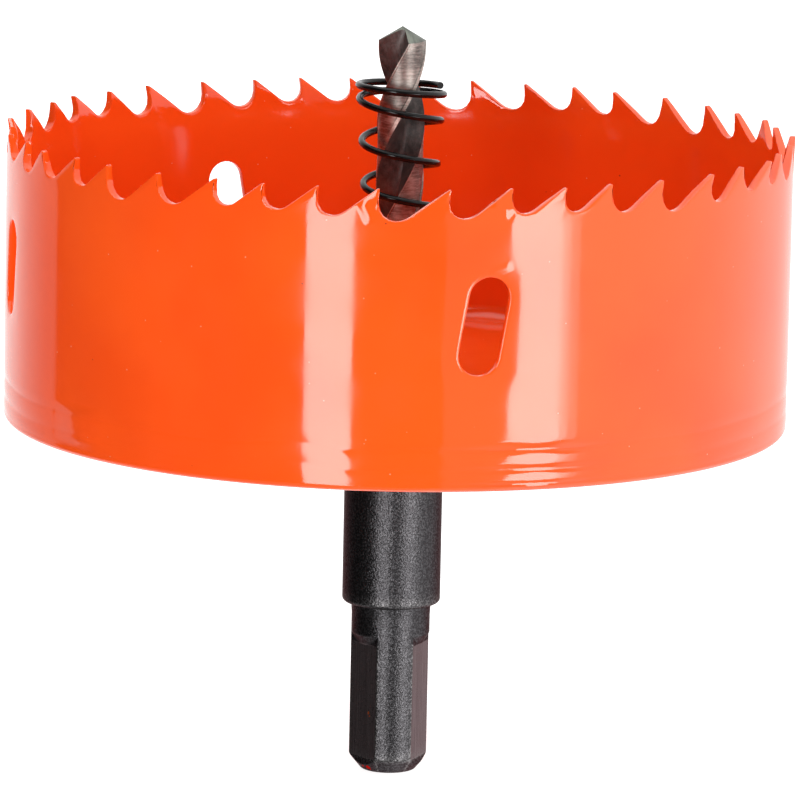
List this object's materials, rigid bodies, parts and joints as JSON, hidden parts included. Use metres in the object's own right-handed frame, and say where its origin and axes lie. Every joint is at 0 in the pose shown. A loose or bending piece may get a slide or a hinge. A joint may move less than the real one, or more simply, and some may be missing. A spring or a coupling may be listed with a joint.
{
  "type": "hole saw",
  "caption": "Toothed steel cup saw with slotted wall and welded back plate, on an arbor with a flatted shank, a pilot drill and an ejector spring.",
  "frame": {"origin": "centre of the flat end of the shank", "axes": "+Z along the arbor towards the teeth and the drill's point; -Y through the first wall slot; +X to the right of it"},
  "size_m": [0.0996, 0.0997, 0.0956],
  "materials": {
    "cup_paint": "gloss",
    "black_oxide": "matte",
    "drill_steel": "satin",
    "spring_wire": "satin"
  },
  "bodies": {
    "root": {"saw_band": "cup_paint", "back_plate": "cup_paint", "arbor": "black_oxide", "spring_washer": "black_oxide", "lock_nut": "black_oxide", "grub_screw": "black_oxide", "pilot_drill": "drill_steel", "ejector_spring": "spring_wire"}
  },
  "joints": []
}
